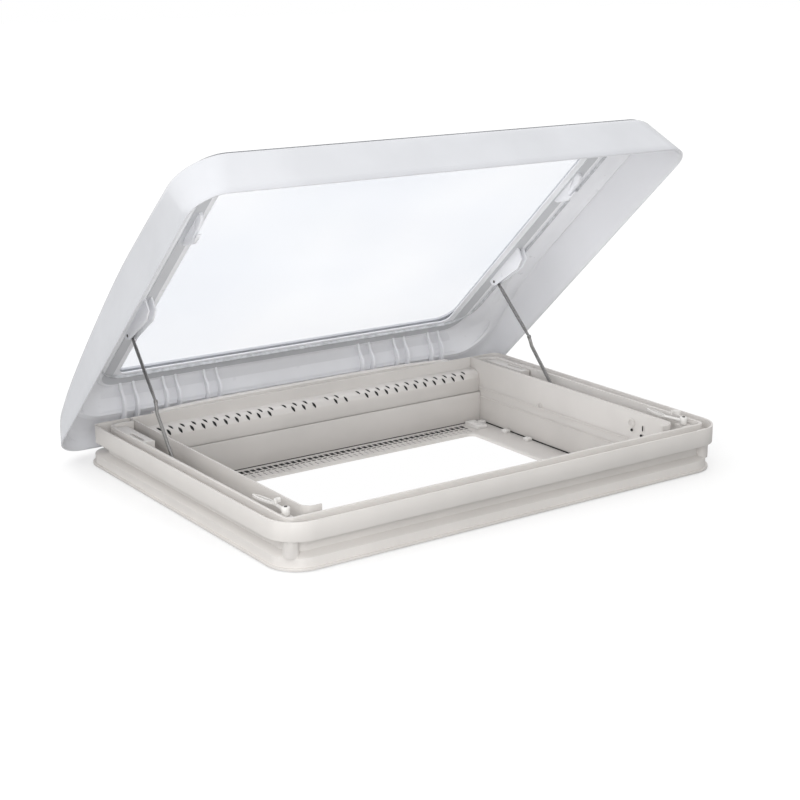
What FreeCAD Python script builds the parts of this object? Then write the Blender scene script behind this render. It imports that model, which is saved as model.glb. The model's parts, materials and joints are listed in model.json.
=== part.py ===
import FreeCAD, Part
import math
import os

import Sketcher

# Roof vent cover for a touring vehicle: a hinged dome over a framed roof opening.
# The frame stands on the roof plane z = 0. X runs along the hinge, +Y points to the hinge side, Z is up.
# The origin is on the roof plane, in the middle of the upstand band. The dome is modelled closed and is
# swung open about the hinge axis by its Placement, so that its stored position is the open one.

Vector = FreeCAD.Vector
Rotation = FreeCAD.Rotation
Placement = FreeCAD.Placement

DIMENSIONS = {
    # upstand band, the visible outer wall of the frame
    "band_half_width": 400,
    "band_half_depth": 285,
    "band_bottom": 44,
    "band_top": 71,
    "band_wall": 2.8,
    "front_corner": 48,
    "rear_corner": 14,
    # roof flange below the band
    "flange_half_width": 396,
    "flange_front": 282,
    "flange_rear": 326,
    "flange_rear_corner": 38,
    "gasket_height": 1.5,
    "gasket_inset": 5,
    "lip_top": 5,
    "step_top": 18,
    "step_inset": 4,
    "neck_bottom": 24,
    "neck_half_width": 379,
    "neck_front": 265,
    "neck_rear": 284.5,
    "neck_corner": 28,
    "column_offset": 374,
    "column_depth": 259,
    "column_radius": 11,
    # gutter and second wall inside the band
    "gutter_floor": 50,
    "wall_half_width": 381,
    "wall_front": 261,
    "wall_rear": 268,
    "wall_thickness": 4.6,
    "wall_corner": 14,
    # trough between the second wall and the inner lining
    "trough_floor": 5,
    "opening_half_width": 338.5,
    "opening_front": 238,
    "opening_rear": 251.6,
    "niche_rear": 281,
    "niche_floor": 13,
    "opening_corner": 17,
    "opening_rear_corner": 3,
    "screw_offset": 347,
    "screw_depth": 150,
    "screw_hole_radius": 2.6,
    # inner lining that hangs down through the roof
    "lining_half_width": 338,
    "lining_front": 237.5,
    "lining_rear": 251.2,
    "lining_wall": 2.5,
    "lining_bottom": 38,
    "lining_top": 72,
    "lining_front_top": 55,
    "lining_front_notch": 311,
    "seam_height": 15,
    # curved vent strip
    "vent_top": 72,
    "vent_face": 278.3,
    "vent_shoulder": 54,
    "vent_wall": 2.4,
    "vent_half_width": 335,
    "vent_hole_long": 12,
    "vent_hole_tilt": 67,
    "vent_hole_high": 5,
    "vent_pitch": 20.5,
    "vent_radius": 15.3,
    "vent_front": 252.7,
    # lower frame of the blind and fly screen
    "tray_height": 6,
    "tray_gap": 1.2,
    "tray_opening_half_width": 279,
    "tray_opening_front": 192,
    "tray_opening_rear": 197,
    "tray_opening_corner": 12,
    "grille_half_width": 296,
    "grille_depth": 44,
    "grille_pitch": 11,
    "grille_web": 2.4,
    "grille_end_near": 298,
    "grille_end_far": 318,
    "grille_end_front": 206,
    "grille_end_depth": 38,
    "grille_end_height": 6,
    # spring clips that hold the tray
    "clip_near": 322,
    "clip_far": 333,
    "clip_length": 12,
    "clip_height": 5,
    # slotted block in the trough
    "pedestal_near": 355,
    "pedestal_far": 375,
    "pedestal_front": 160,
    "pedestal_depth": 95,
    "pedestal_height": 63,
    "pedestal_slot_floor": 40,
    "pedestal_slot_length": 44,
    # drain insert in the front gutter
    "drain_near": 352,
    "drain_far": 370,
    "drain_front": 277.5,
    "drain_depth": 7,
    "drain_height": 17,
    "drain_slot_floor": 60,
    # rear rail
    "rail_half_width": 292,
    "rail_depth": 11,
    "rail_bottom": 60,
    "rail_top": 77,
    # dome, in its closed place
    "hinge_depth": 350,
    "hinge_height": 24,
    "open_angle": 43.1,
    "dome_half_width": 436,
    "dome_front": 330.4,
    "dome_rear": 363.6,
    "dome_rim": 15.4,
    "dome_corner": 48,
    "dome_upper_corner": 78,
    "dome_draft": 14,
    "dome_wall": 3.2,
    "dome_shoulder": 88,
    "dome_crown": 90,
    # clear window in the dome's crown
    "window_half_width": 340,
    "window_front": 250,
    "window_rear": 276,
    "window_corner": 34,
    "window_lap": 9,
    "window_thickness": 3,
    "pane_half_width": 333,
    "pane_front": 236,
    "pane_rear": 276,
    "pane_underside": 95,
    "pane_thickness": 4,
    "surround_half_width": 408,
    "surround_front": 300,
    "surround_rear": 322,
    "surround_corner": 45,
    "surround_thickness": 2.6,
    "pane_lap": 6,
    "pane_corner": 16,
    # hinge hardware
    "pin_radius": 3,
    "pin_play": 0.05,
    "knuckle_radius": 6.6,
    "bracket_width": 18,
    "ear_thickness": 4,
    "ear_play": 0.6,
    # stays
    "stay_pin_depth": 129.2,
    "stay_pin_height": 81.8,
    "stay_pin_radius": 2.5,
    "stay_top_offset": 352.8,
    "stay_foot_offset": 365.5,
    "stay_foot_depth": 48.9,
    "stay_foot_height": 15,
    "stay_width": 5.5,
    "stay_gap": 0.2,
    "upper_stay_height": 8,
    "lower_stay_height": 9,
    "stay_eye_radius": 5.6,
    "roller_radius": 4.5,
    "track_clearance": 3.4,
    "track_front": 142,
    "track_rear": 62,
    "track_offset": 372.2,
    "track_width": 7.6,
    "track_wall": 1.5,
    "shoe_end": 373.8,
    # latches
    "latch_offset": 363,
    "latch_pivot_depth": 230,
    "latch_pivot_height": 64,
    "latch_lever_height": 73,
    "latch_pin_radius": 2.2,
    "latch_pin_seat": 24,
    "latch_pin_length": 37.5,
    "latch_base_near": 356,
    "latch_base_far": 374,
    "latch_base_front": 244,
    "latch_base_rear": 218,
    "latch_hub_radius": 6,
    "latch_hub_height": 12.2,
    "latch_hook_radius": 8,
    "latch_hook_inner": 5.6,
    "latch_hook_height": 7,
    "latch_rod_offset": 366,
    "latch_rod_front": 255.8,
    "latch_rod_height": 58,
    "latch_rod_radius": 2,
    "latch_rod_length": 11.8,
    # catch under the dome's inner frame
    "catch_offset": 344,
    "catch_thickness": 6,
}

doc = FreeCAD.newDocument("roof_vent_cover")
sheet = doc.addObject("Spreadsheet::Sheet", "Sheet")
for row, (alias, value) in enumerate(DIMENSIONS.items(), start=1):
    sheet.set("A%d" % row, alias)
    sheet.set("B%d" % row, str(value))
    sheet.setAlias("B%d" % row, alias)
doc.recompute()

SIDES = {"left": -1, "right": 1}


def dim(alias):
    """The value of a sheet cell in millimetres or degrees."""
    return float(sheet.get(alias))


def amount(expression):
    """The value of an expression over sheet cells."""
    result = sheet.evalExpression(expression)
    return float(getattr(result, "Value", result))


def cell(alias):
    """The expression that reads a sheet cell."""
    return "Sheet." + alias


def bind(obj, prop, expression):
    """Tie a property of an object to an expression over sheet cells."""
    obj.setExpression(prop, expression)


# ------------------------------------------------------------------ sketched bodies


def new_body(label):
    """An empty PartDesign body that becomes one sub-part."""
    body = doc.addObject("PartDesign::Body", label)
    body.Label = label
    return body


def origin_plane(body, role):
    """The body's own origin plane with this role."""
    return next(f for f in body.Origin.OriginFeatures if f.Role == role)


def new_sketch(body, name, role, offset):
    """A sketch on an origin plane of the body, raised along the plane's normal."""
    sketch = body.newObject("Sketcher::SketchObject", name)
    sketch.AttachmentSupport = (origin_plane(body, role), [""])
    sketch.MapMode = "FlatFace"
    bind(sketch, "AttachmentOffset.Base.z", offset)
    return sketch


def fix_distance(sketch, kind, geo, pos, expression):
    """Hold one coordinate of a sketch point at the value of an expression."""
    value = amount(expression)
    if value >= 0:
        index = sketch.addConstraint(Sketcher.Constraint(kind, -1, 1, geo, pos, value))
        bind(sketch, "Constraints[%d]" % index, expression)
    else:
        index = sketch.addConstraint(Sketcher.Constraint(kind, geo, pos, -1, 1, -value))
        bind(sketch, "Constraints[%d]" % index, "-(%s)" % expression)


def rounded_outline(sketch, half_width, front, rear, front_radius, rear_radius):
    """A rectangle about the Y axis from -front to +rear, with its own front and rear corner radii."""
    hw, fr, re = amount(half_width), amount(front), amount(rear)
    rf, rr = amount(front_radius), amount(rear_radius)
    first = sketch.GeometryCount
    lines = [
        ((-hw + rf, -fr), (hw - rf, -fr)),
        ((hw, -fr + rf), (hw, re - rr)),
        ((hw - rr, re), (-hw + rr, re)),
        ((-hw, re - rr), (-hw, -fr + rf)),
    ]
    arcs = [
        ((hw - rf, -fr + rf), rf, -90),
        ((hw - rr, re - rr), rr, 0),
        ((-hw + rr, re - rr), rr, 90),
        ((-hw + rf, -fr + rf), rf, 180),
    ]
    for (start, end), (centre, radius, angle) in zip(lines, arcs):
        sketch.addGeometry(Part.LineSegment(Vector(*start, 0), Vector(*end, 0)))
        circle = Part.Circle(Vector(*centre, 0), Vector(0, 0, 1), radius)
        sketch.addGeometry(Part.ArcOfCircle(circle, math.radians(angle), math.radians(angle + 90)))
    for k in range(4):
        line, arc = first + 2 * k, first + 2 * k + 1
        following = first + (2 * k + 2) % 8
        sketch.addConstraint(Sketcher.Constraint("Tangent", line, 2, arc, 1))
        sketch.addConstraint(Sketcher.Constraint("Tangent", arc, 2, following, 1))
        radius = sketch.addConstraint(Sketcher.Constraint("Radius", arc, arcs[k][1]))
        bind(sketch, "Constraints[%d]" % radius, front_radius if k in (0, 3) else rear_radius)
    sketch.addConstraint(Sketcher.Constraint("Horizontal", first))
    fix_distance(sketch, "DistanceY", first, 1, "-(%s)" % front)
    fix_distance(sketch, "DistanceX", first + 2, 1, half_width)
    fix_distance(sketch, "DistanceY", first + 4, 1, rear)
    fix_distance(sketch, "DistanceX", first + 6, 1, "-(%s)" % half_width)


def polygon(sketch, points):
    """A closed polygon whose corners are held at pairs of expressions."""
    first = sketch.GeometryCount
    values = [Vector(amount(a), amount(b), 0) for a, b in points]
    count = len(points)
    for k in range(count):
        sketch.addGeometry(Part.LineSegment(values[k], values[(k + 1) % count]))
    for k in range(count):
        sketch.addConstraint(Sketcher.Constraint("Coincident", first + k, 2, first + (k + 1) % count, 1))
        fix_distance(sketch, "DistanceX", first + k, 1, points[k][0])
        fix_distance(sketch, "DistanceY", first + k, 1, points[k][1])


def circle(sketch, across, up, radius):
    """A full circle whose centre and radius are expressions."""
    centre = Vector(amount(across), amount(up), 0)
    geo = sketch.addGeometry(Part.Circle(centre, Vector(0, 0, 1), amount(radius)))
    index = sketch.addConstraint(Sketcher.Constraint("Radius", geo, amount(radius)))
    bind(sketch, "Constraints[%d]" % index, radius)
    fix_distance(sketch, "DistanceX", geo, 3, across)
    fix_distance(sketch, "DistanceY", geo, 3, up)


def pad(body, sketch, length, midplane=False):
    """Raise the sketch by a length along its plane's normal, or half each way."""
    feature = body.newObject("PartDesign::Pad", "Pad")
    feature.Profile = sketch
    feature.Midplane = midplane
    bind(feature, "Length", length)
    return feature


def pocket(body, sketch, length, upwards=False, midplane=False):
    """Cut the sketch down from its plane, or up, and check that it takes material away."""
    doc.recompute()
    before = body.Shape.Volume
    feature = body.newObject("PartDesign::Pocket", "Pocket")
    feature.Profile = sketch
    feature.Reversed = upwards
    feature.Midplane = midplane
    bind(feature, "Length", length)
    doc.recompute()
    if body.Shape.Volume >= before:
        raise RuntimeError("a pocket of %s removes nothing" % body.Label)
    return feature


def layer(body, name, outline, bottom, height):
    """Pad a rounded rectangle upwards from a height."""
    sketch = new_sketch(body, name, "XY_Plane", bottom)
    rounded_outline(sketch, *outline)
    return pad(body, sketch, height)


def well(body, name, outlines, top, depth):
    """Pocket one rounded rectangle, or a ring between two, down from a height."""
    sketch = new_sketch(body, name, "XY_Plane", top)
    for outline in outlines:
        rounded_outline(sketch, *outline)
    return pocket(body, sketch, depth)


# ------------------------------------------------------------------ primitives


def box(name, corner, size):
    """A Part::Box whose low corner and size are expressions."""
    obj = doc.addObject("Part::Box", name)
    for prop, expression in zip(("Length", "Width", "Height"), size):
        bind(obj, prop, expression)
    for axis, expression in zip("xyz", corner):
        bind(obj, "Placement.Base." + axis, expression)
    return obj


def cylinder(name, base, radius, height, direction=Vector(0, 0, 1)):
    """A Part::Cylinder whose base, radius and height are expressions."""
    obj = doc.addObject("Part::Cylinder", name)
    obj.Placement = Placement(Vector(), Rotation(Vector(0, 0, 1), direction))
    bind(obj, "Radius", radius)
    bind(obj, "Height", height)
    for axis, expression in zip("xyz", base):
        bind(obj, "Placement.Base." + axis, expression)
    return obj


def fuse(name, members):
    """Several objects joined as one sub-part."""
    obj = doc.addObject("Part::MultiFuse", name)
    obj.Shapes = members
    return obj


def cut(name, base, tool):
    """One object less another."""
    obj = doc.addObject("Part::Cut", name)
    obj.Base = base
    obj.Tool = tool
    return obj


def mirrored_low(side, near, far):
    """The low X of a block that spans near to far from the middle, on one side."""
    return near if side > 0 else "-(%s)" % far


parts = []
dome_parts = []


def keep(obj, label):
    """List an object as a sub-part under its own label."""
    obj.Label = label
    parts.append(obj)
    return obj


def keep_on_dome(obj, label):
    """List an object as a sub-part that swings with the dome."""
    dome_parts.append(obj)
    return keep(obj, label)


def closed_feature(label, shape):
    """A sub-part whose shape comes from Part's own functions."""
    feature = doc.addObject("Part::Feature", label)
    feature.Shape = shape
    feature.Label = label
    return feature


# ------------------------------------------------------------------ frame on the roof


def flange_outline(inset):
    """The roof flange's outline, drawn in by an inset."""
    return [
        "Sheet.flange_half_width - %s" % inset,
        "Sheet.flange_front - %s" % inset,
        "Sheet.flange_rear - %s" % inset,
        "Sheet.front_corner - %s" % inset,
        "Sheet.flange_rear_corner - %s" % inset,
    ]


def band_outline(inset):
    """The upstand band's outline, drawn in by an inset."""
    return [
        "Sheet.band_half_width - %s" % inset,
        "Sheet.band_half_depth - %s" % inset,
        "Sheet.band_half_depth - %s" % inset,
        "Sheet.front_corner - %s" % inset,
        "Sheet.rear_corner - %s" % inset,
    ]


def wall_outline(inset):
    """The second wall's outline, drawn in by an inset."""
    return [
        "Sheet.wall_half_width - %s" % inset,
        "Sheet.wall_front - %s" % inset,
        "Sheet.wall_rear - %s" % inset,
        "Sheet.wall_corner - %s / 2" % inset,
        "Sheet.wall_corner - %s / 2" % inset,
    ]


def screw_holes(body, top):
    """Four holes for the screws that fasten the frame to the roof, cut down from a height."""
    sketch = new_sketch(body, "ScrewSketch", "XY_Plane", top)
    for side in SIDES.values():
        for depth in ("Sheet.screw_depth", "-Sheet.screw_depth"):
            circle(sketch, "%d * Sheet.screw_offset" % side, depth, cell("screw_hole_radius"))
    pocket(body, sketch, top + " + 1")


def make_outer_frame():
    """Flange, neck, band, gutter, second wall and trough, moulded in one piece."""
    body = new_body("outer_frame")
    neck = [cell("neck_half_width"), cell("neck_front"), cell("neck_rear"),
            cell("neck_corner"), cell("rear_corner")]
    opening = [cell("opening_half_width"), cell("opening_front"), cell("opening_rear"),
               cell("opening_corner"), cell("opening_rear_corner")]
    niche = [opening[0], opening[1], cell("niche_rear"), opening[3], opening[4]]

    layer(body, "LipSketch", flange_outline("0"), cell("gasket_height"),
          "Sheet.lip_top - Sheet.gasket_height")
    layer(body, "StepSketch", flange_outline(cell("step_inset")), cell("lip_top"),
          "Sheet.step_top - Sheet.lip_top")
    low = new_sketch(body, "LedgeLow", "XY_Plane", cell("step_top"))
    rounded_outline(low, *flange_outline(cell("step_inset")))
    high = new_sketch(body, "LedgeHigh", "XY_Plane", cell("neck_bottom"))
    rounded_outline(high, *neck)
    ledge = body.newObject("PartDesign::AdditiveLoft", "Ledge")
    ledge.Profile = low
    ledge.Sections = [high]
    ledge.Ruled = True
    layer(body, "NeckSketch", neck, cell("neck_bottom"), "Sheet.band_bottom - Sheet.neck_bottom")
    columns = new_sketch(body, "ColumnSketch", "XY_Plane", cell("step_top"))
    for side in SIDES.values():
        circle(columns, "%d * Sheet.column_offset" % side, "-Sheet.column_depth", cell("column_radius"))
    pad(body, columns, "Sheet.band_bottom - Sheet.step_top")
    layer(body, "BandSketch", band_outline("0"), cell("band_bottom"), "Sheet.band_top - Sheet.band_bottom")

    top = cell("band_top")
    well(body, "GutterSketch", [band_outline(cell("band_wall")), wall_outline("0")], top,
         "Sheet.band_top - Sheet.gutter_floor")
    well(body, "TroughSketch", [wall_outline(cell("wall_thickness"))], top,
         "Sheet.band_top - Sheet.trough_floor")
    well(body, "NicheSketch", [niche], top, "Sheet.band_top - Sheet.niche_floor")
    well(body, "OpeningSketch", [opening], top, "Sheet.band_top + 1")
    screw_holes(body, cell("trough_floor"))
    return body


def make_gasket():
    """Flat sealing strip between the flange and the roof skin."""
    body = new_body("roof_gasket")
    outline = flange_outline(cell("gasket_inset"))
    layer(body, "GasketSketch", outline, "0", cell("gasket_height"))
    hole = ["Sheet.opening_half_width + 6", "Sheet.opening_front + 6", "Sheet.opening_rear + 6", "18", "8"]
    well(body, "GasketHole", [hole], cell("gasket_height"), "Sheet.gasket_height + 1")
    screw_holes(body, cell("gasket_height"))
    return body


def make_lining():
    """The inner lining: front and side walls that hang through the roof, open at the back."""
    body = new_body("inner_lining")
    outline = [cell("lining_half_width"), cell("lining_front"), cell("lining_rear"),
               cell("opening_corner"), cell("opening_rear_corner")]
    layer(body, "LiningSketch", outline, "-Sheet.lining_bottom", "Sheet.lining_bottom + Sheet.lining_top")
    wing = new_sketch(body, "WingSketch", "XY_Plane", cell("seam_height"))
    corners = [
        ("-Sheet.lining_half_width", "Sheet.lining_rear - 10"),
        ("Sheet.lining_half_width", "Sheet.lining_rear - 10"),
        ("Sheet.lining_half_width", "Sheet.niche_rear - 1.6"),
        ("-Sheet.lining_half_width", "Sheet.niche_rear - 1.6"),
    ]
    polygon(wing, corners)
    pad(body, wing, "Sheet.lining_top - Sheet.seam_height")
    inner = ["Sheet.lining_half_width - Sheet.lining_wall", "Sheet.lining_front - Sheet.lining_wall",
             "Sheet.niche_rear + 10", "Sheet.opening_corner - Sheet.lining_wall", "1"]
    well(body, "LiningWell", [inner], cell("lining_top"), "Sheet.lining_bottom + Sheet.lining_top + 1")
    notch = new_sketch(body, "NotchSketch", "XY_Plane", cell("lining_top"))
    polygon(notch, [
        ("-Sheet.lining_front_notch", "-(Sheet.lining_front + 5)"),
        ("Sheet.lining_front_notch", "-(Sheet.lining_front + 5)"),
        ("Sheet.lining_front_notch", "-(Sheet.lining_front - 12)"),
        ("-Sheet.lining_front_notch", "-(Sheet.lining_front - 12)"),
    ])
    pocket(body, notch, "Sheet.lining_top - Sheet.lining_front_top")
    return body


def make_rear_panel():
    """Flat rear wall of the lining below the seam."""
    return box("RearPanel",
               ("-Sheet.vent_half_width", "Sheet.lining_rear - Sheet.lining_wall", "-Sheet.lining_bottom"),
               ("2 * Sheet.vent_half_width", cell("lining_wall"), "Sheet.lining_bottom + Sheet.seam_height"))


# groups of vent holes: row, first hole along X, number of holes
VENT_GROUPS = [
    ("upper", -297, 11), ("upper", -67, 3), ("upper", 16, 2), ("upper", 80, 12),
    ("lower", -283, 10), ("lower", -53, 3), ("lower", 31, 2), ("lower", 94, 11),
]
VENT_ROW_ANGLE = {"upper": 66, "lower": 31}


def make_vent_strip():
    """Rounded strip along the back with two rows of leaf-shaped air holes."""
    face, wall = dim("vent_face"), dim("vent_wall")
    shoulder, foot = dim("vent_shoulder"), dim("seam_height")
    radius, front = dim("vent_radius"), dim("vent_front")
    centre_y, centre_z = front + radius, shoulder - 1.2 - radius

    def arc(r):
        turns = [math.radians(angle) for angle in (90, 45, 0)]
        points = [Vector(0, centre_y - r * math.cos(t), centre_z + r * math.sin(t)) for t in turns]
        return Part.Arc(*points).toShape(), points[0], points[2]

    outer, outer_top, outer_low = arc(radius)
    inner, inner_top, inner_low = arc(radius - wall)
    chain = [
        Part.makePolygon([Vector(0, face, dim("vent_top")), Vector(0, face, shoulder), outer_top]),
        outer,
        Part.makePolygon([outer_low, Vector(0, front, foot), Vector(0, front + wall, foot), inner_low]),
        inner,
        Part.makePolygon([inner_top, Vector(0, face + wall, shoulder - wall),
                          Vector(0, face + wall, dim("vent_top")), Vector(0, face, dim("vent_top"))]),
    ]
    edges = [edge for piece in chain for edge in piece.Edges]
    profile = Part.Face(Part.Wire(Part.__sortEdges__(edges)))
    half = dim("vent_half_width")
    profile.translate(Vector(-half, 0, 0))
    strip = profile.extrude(Vector(2 * half, 0, 0))

    long_half, high_half = dim("vent_hole_long") / 2, dim("vent_hole_high") / 2
    base = radius - wall - 3
    ends = [Vector(-long_half, 0, base), Vector(long_half, 0, base)]
    leaf = Part.Wire([
        Part.Arc(ends[0], Vector(0, -high_half, base), ends[1]).toShape(),
        Part.Arc(ends[1], Vector(0, high_half, base), ends[0]).toShape(),
    ])
    cutter = Part.Face(leaf).extrude(Vector(0, 0, wall + 6))
    tools = []
    for row, first, count in VENT_GROUPS:
        lean = Rotation(Vector(0, 0, 1), -dim("vent_hole_tilt"))
        turn = Rotation(Vector(1, 0, 0), 90 - VENT_ROW_ANGLE[row]).multiply(lean)
        for k in range(count):
            hole = cutter.copy()
            at = Vector(first + k * dim("vent_pitch"), centre_y, centre_z)
            hole.Placement = Placement(at, turn)
            tools.append(hole)
    return closed_feature("vent_strip", strip.cut(Part.makeCompound(tools)))


def make_tray():
    """Lower frame of the blind, with the room opening and a seat for the air grille."""
    body = new_body("blind_tray")
    outline = [cell("lining_half_width"), cell("lining_front"), cell("lining_rear"),
               cell("opening_corner"), cell("opening_rear_corner")]
    top = "-(Sheet.lining_bottom + Sheet.tray_gap)"
    layer(body, "TraySketch", outline, top + " - Sheet.tray_height", cell("tray_height"))
    opening = [cell("tray_opening_half_width"), cell("tray_opening_front"), cell("tray_opening_rear"),
               cell("tray_opening_corner"), cell("tray_opening_corner")]
    well(body, "TrayOpening", [opening], top, "Sheet.tray_height + 1")
    seat = new_sketch(body, "GrilleSeat", "XY_Plane", top)
    rear = "Sheet.tray_opening_rear + 5 + Sheet.grille_depth"
    polygon(seat, [
        ("-Sheet.grille_half_width - 0.2", "Sheet.tray_opening_rear + 4.8"),
        ("Sheet.grille_half_width + 0.2", "Sheet.tray_opening_rear + 4.8"),
        ("Sheet.grille_half_width + 0.2", rear + " + 0.2"),
        ("-Sheet.grille_half_width - 0.2", rear + " + 0.2"),
    ])
    pocket(body, seat, "Sheet.tray_height + 1")
    return body


def make_grille():
    """Grille in the tray: two rows of air cells and a ribbed strip."""
    half, depth = dim("grille_half_width"), dim("grille_depth")
    front = dim("tray_opening_rear") + 5
    low = -(dim("lining_bottom") + dim("tray_gap") + dim("tray_height"))
    plate = Part.makeBox(2 * half, depth, dim("tray_height") - 1, Vector(-half, front, low))
    pitch, web = dim("grille_pitch"), dim("grille_web")
    count = int(2 * (half - 4) // pitch)
    start = -count * pitch / 2
    tools = []
    for k in range(count):
        x = start + k * pitch + web / 2
        tools.append(Part.makeBox(pitch - web, 13, 20, Vector(x, front + depth - 15, low - 5)))
        tools.append(Part.makeBox(pitch - web, 5, 20, Vector(x, front + depth - 23, low - 5)))
        tools.append(Part.makeBox(2, 15, 2, Vector(x, front + 2, low + dim("tray_height") - 2.5)))
    return closed_feature("air_grille", plate.cut(Part.makeCompound(tools)))


# where the clips sit along each side rail
CLIP_DEPTHS = [234, 165, 105, -40, -110, -180]


def make_clips():
    """Identical spring clips that hold the tray on the lining's side rails."""
    clips = []
    for name, side in SIDES.items():
        for k, depth in enumerate(CLIP_DEPTHS):
            corner = (mirrored_low(side, cell("clip_near"), cell("clip_far")),
                      "%d - Sheet.clip_length / 2" % depth, "-(Sheet.lining_bottom + Sheet.tray_gap)")
            size = ("Sheet.clip_far - Sheet.clip_near", cell("clip_length"), cell("clip_height"))
            clips.append(box("Clip_%s_%d" % (name, k), corner, size))
    return fuse("RailClips", clips)


def make_grille_end(name, side):
    """End block beside the air grille."""
    corner = (mirrored_low(side, cell("grille_end_near"), cell("grille_end_far")),
              cell("grille_end_front"), "-(Sheet.lining_bottom + Sheet.tray_gap)")
    size = ("Sheet.grille_end_far - Sheet.grille_end_near", cell("grille_end_depth"),
            cell("grille_end_height"))
    return box("GrilleEnd_" + name, corner, size)


def make_rear_rail():
    """Rail along the back of the band."""
    return box("RearRail", ("-Sheet.rail_half_width", cell("band_half_depth"), cell("rail_bottom")),
               ("2 * Sheet.rail_half_width", cell("rail_depth"), "Sheet.rail_top - Sheet.rail_bottom"))


def make_pedestal(name, side):
    """Slotted block in the trough beside the hinge side."""
    low = mirrored_low(side, cell("pedestal_near"), cell("pedestal_far"))
    block = box("PedestalBlock_" + name, (low, cell("pedestal_front"), cell("trough_floor")),
                ("Sheet.pedestal_far - Sheet.pedestal_near", cell("pedestal_depth"),
                 cell("pedestal_height")))
    slot_low = mirrored_low(side, "Sheet.pedestal_far - 9", "Sheet.pedestal_far - 4")
    slot = box("PedestalSlot_" + name, (slot_low, "Sheet.pedestal_front + 10", cell("pedestal_slot_floor")),
               ("5", cell("pedestal_slot_length"), cell("pedestal_height")))
    return cut("Pedestal_" + name, block, slot)


def make_drain_plug(name, side):
    """Slotted drain insert in the front gutter corner."""
    low = mirrored_low(side, cell("drain_near"), cell("drain_far"))
    block = box("DrainBlock_" + name, (low, "-Sheet.drain_front", cell("gutter_floor")),
                ("Sheet.drain_far - Sheet.drain_near", cell("drain_depth"), cell("drain_height")))
    slot_low = mirrored_low(side, "Sheet.drain_near + 3", "Sheet.drain_far - 3")
    slot = box("DrainSlot_" + name, (slot_low, "-Sheet.drain_front + 2", cell("drain_slot_floor")),
               ("Sheet.drain_far - Sheet.drain_near - 6", "3", "10"))
    return cut("DrainPlug_" + name, block, slot)


def make_track(name, side):
    """Channel on the trough wall that guides the foot of the stay."""
    reach = "Sheet.roller_radius + Sheet.track_clearance"
    body = new_body("stay_track_" + name)
    sketch = new_sketch(body, "TrackSketch", "YZ_Plane", "%d * Sheet.track_offset" % side)
    low = "Sheet.stay_foot_height - (%s) - Sheet.track_wall" % reach
    high = "Sheet.stay_foot_height + (%s) + Sheet.track_wall" % reach
    polygon(sketch, [
        ("-Sheet.track_front", low), (cell("track_rear"), low),
        (cell("track_rear"), high), ("-Sheet.track_front", high),
    ])
    pad(body, sketch, cell("track_width"), midplane=True)
    groove_middle = "%d * (Sheet.track_offset - Sheet.track_wall)" % side
    groove = new_sketch(body, "GrooveSketch", "YZ_Plane", groove_middle)
    low, high = "Sheet.stay_foot_height - (%s)" % reach, "Sheet.stay_foot_height + (%s)" % reach
    polygon(groove, [
        ("-Sheet.track_front + Sheet.track_wall", low), ("Sheet.track_rear - Sheet.track_wall", low),
        ("Sheet.track_rear - Sheet.track_wall", high), ("-Sheet.track_front + Sheet.track_wall", high),
    ])
    pocket(body, groove, cell("track_width"), midplane=True)
    return body


def make_hinge_bracket(label, across):
    """Bracket on the rear flange with the hinge knuckle at its end."""
    body = new_body(label)
    sketch = new_sketch(body, "BracketSketch", "YZ_Plane", str(across))
    hinge_y, hinge_z = cell("hinge_depth"), cell("hinge_height")
    polygon(sketch, [
        ("292", "23"), ("Sheet.flange_rear - 5", "18.4"), (hinge_y, hinge_z + " - 4"),
        (hinge_y, hinge_z + " + 6"), ("Sheet.flange_rear - 8", "29"), ("292", "29"),
    ])
    pad(body, sketch, cell("bracket_width"), midplane=True)
    knuckle = new_sketch(body, "KnuckleSketch", "YZ_Plane", str(across))
    circle(knuckle, hinge_y, hinge_z, cell("knuckle_radius"))
    pad(body, knuckle, cell("bracket_width"), midplane=True)
    bore = new_sketch(body, "BoreSketch", "YZ_Plane", str(across))
    circle(bore, hinge_y, hinge_z, "Sheet.pin_radius + Sheet.pin_play")
    pocket(body, bore, "Sheet.bracket_width + 2", midplane=True)
    return body


# ------------------------------------------------------------------ dome, modelled closed


def rounded_wire(half_width, front, rear, radius, height):
    """A rounded rectangle as a wire at a height, for lofts."""
    x, f, r = half_width - radius, -front + radius, rear - radius
    corners = [(x, f, -90), (x, r, 0), (-x, r, 90), (-x, f, 180)]
    edges = []
    for k, (cx, cy, angle) in enumerate(corners):
        start, middle, end = [
            Vector(cx + radius * math.cos(math.radians(a)), cy + radius * math.sin(math.radians(a)), height)
            for a in (angle, angle + 45, angle + 90)
        ]
        edges.append(Part.Arc(start, middle, end).toShape())
        nx, ny, _ = corners[(k + 1) % 4]
        turn = math.radians(angle + 90)
        following = Vector(nx + radius * math.cos(turn), ny + radius * math.sin(turn), height)
        edges.append(Part.makeLine(end, following))
    return Part.Wire(edges)


# height of the dome's margin above its rim, at distances back from its front edge
MARGIN_PROFILE = [
    (-20, 72), (60, 76), (190, 82), (300, 84.3), (445, 75), (576, 59.5), (651, 41), (688, 26), (714, 13),
]
# crown of the dome: half width, front, rear, corner radius, height above the rim
CROWN_PROFILE = [
    (405, 310, 321, 50, 34), (405, 310, 321, 50, 60), (378, 284, 304, 44, 82), (352, 262, 288, 38, 90),
]


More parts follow.
